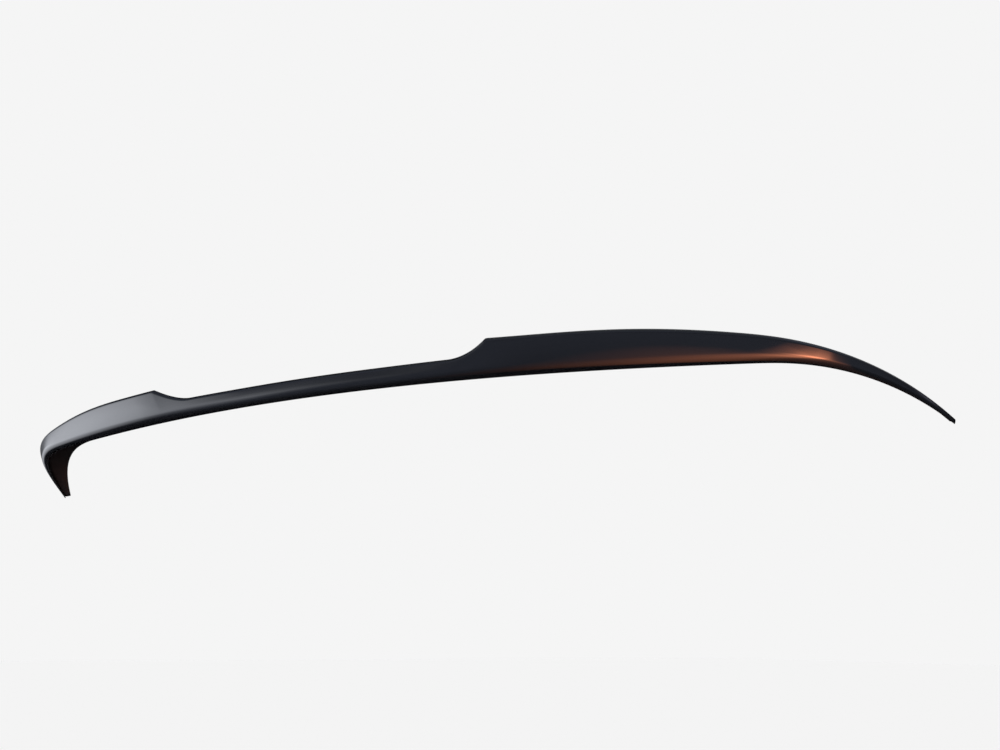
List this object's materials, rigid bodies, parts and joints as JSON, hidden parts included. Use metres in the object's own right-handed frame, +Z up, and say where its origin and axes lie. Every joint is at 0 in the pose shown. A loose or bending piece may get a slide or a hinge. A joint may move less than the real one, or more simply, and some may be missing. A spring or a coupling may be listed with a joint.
{
  "type": "spoiler extension",
  "caption": "Thin-walled gloss black lip that caps a hatchback roof spoiler's trailing edge, with a low centre stepping up to tapered, wrapped winglets.",
  "frame": {"origin": "on the mid-plane, at the lower rear corner of the section, where the lip meets the host spoiler's trailing edge", "axes": "+X across the car to the right as seen from behind, +Y forward, +Z up"},
  "size_m": [1.1974, 0.1004, 0.0804],
  "materials": {
    "gloss_black": "high gloss black"
  },
  "bodies": {
    "root": {"spoiler_extension": "gloss_black"}
  },
  "joints": []
}
